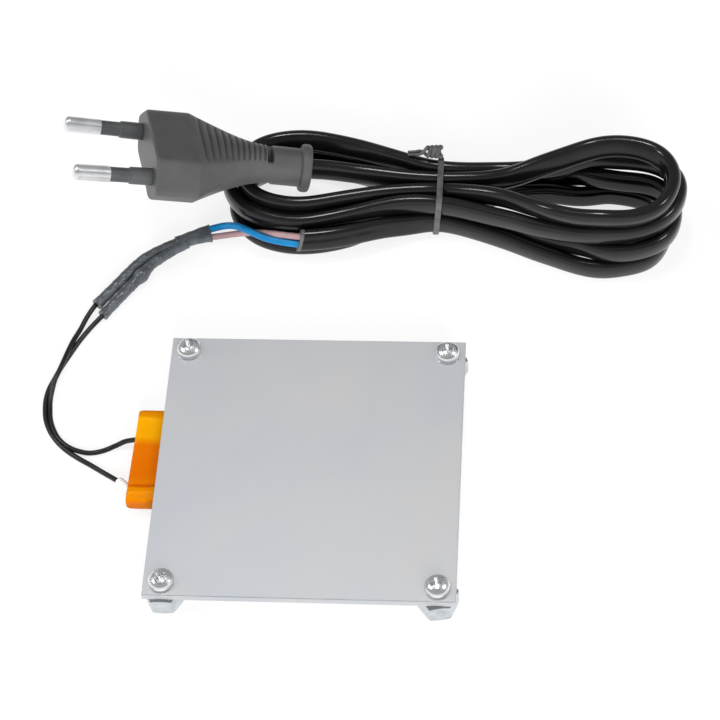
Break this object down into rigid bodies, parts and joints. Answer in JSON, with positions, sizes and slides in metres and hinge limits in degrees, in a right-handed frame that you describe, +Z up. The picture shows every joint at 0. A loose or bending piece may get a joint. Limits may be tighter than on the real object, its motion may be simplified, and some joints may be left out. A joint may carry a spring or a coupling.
{
  "type": "heating plate",
  "caption": "Small square metal heating plate on hexagonal feet, heated by a film-wrapped core under it, with a tied flat mains cable and a two-pin plug.",
  "frame": {"origin": "on the surface the feet stand on, below the middle of the heater's rigid part (plate, feet and core); the plate's own middle is 3 mm to the right of it", "axes": "+X to the right along the plate's front edge, +Y away from the front edge, towards the coiled cable, +Z up"},
  "size_m": [0.1543, 0.1348, 0.0338],
  "materials": {
    "plate": "fine matte, brushed",
    "screw": "bright nickel plating",
    "foot": "bright zinc plating",
    "adhesive": "matt, off-white",
    "film": "clear amber film, glossy",
    "electrode": "plain sheet",
    "tablet": "matt dark ceramic",
    "lead": "satin black",
    "white_sleeve": "matt white",
    "shrink": "satin black",
    "blue_core": "satin blue",
    "brown_core": "satin pinkish brown",
    "cable": "glossy black",
    "tie": "matt dark grey",
    "plug": "satin black moulding",
    "pin": "bright nickel plating",
    "pin_sleeve": "satin black"
  },
  "bodies": {
    "root": {"top_plate": "plate", "screw_back_left": "screw", "screw_back_right": "screw", "screw_front_left": "screw", "screw_front_right": "screw", "foot_back_left": "foot", "foot_back_right": "foot", "foot_front_left": "foot", "foot_front_right": "foot", "core_adhesive": "adhesive", "core_film": "film", "electrode_upper": "electrode", "electrode_lower": "electrode", "tablets": "tablet", "lead_back": "lead", "lead_front": "lead", "lead_sleeve": "white_sleeve", "splice_back": "shrink", "splice_front": "shrink", "splice_shared": "shrink", "wire_blue": "blue_core", "wire_brown": "brown_core", "cable_cut_run": "cable", "cable_hank": "cable", "cable_plug_run": "cable", "tie_strap": "tie", "tie_ends": "tie", "plug_body": "plug", "plug_collar": "plug", "pin_far": "pin", "pin_near": "pin", "pin_sleeve_far": "pin_sleeve", "pin_sleeve_near": "pin_sleeve"}
  },
  "joints": []
}
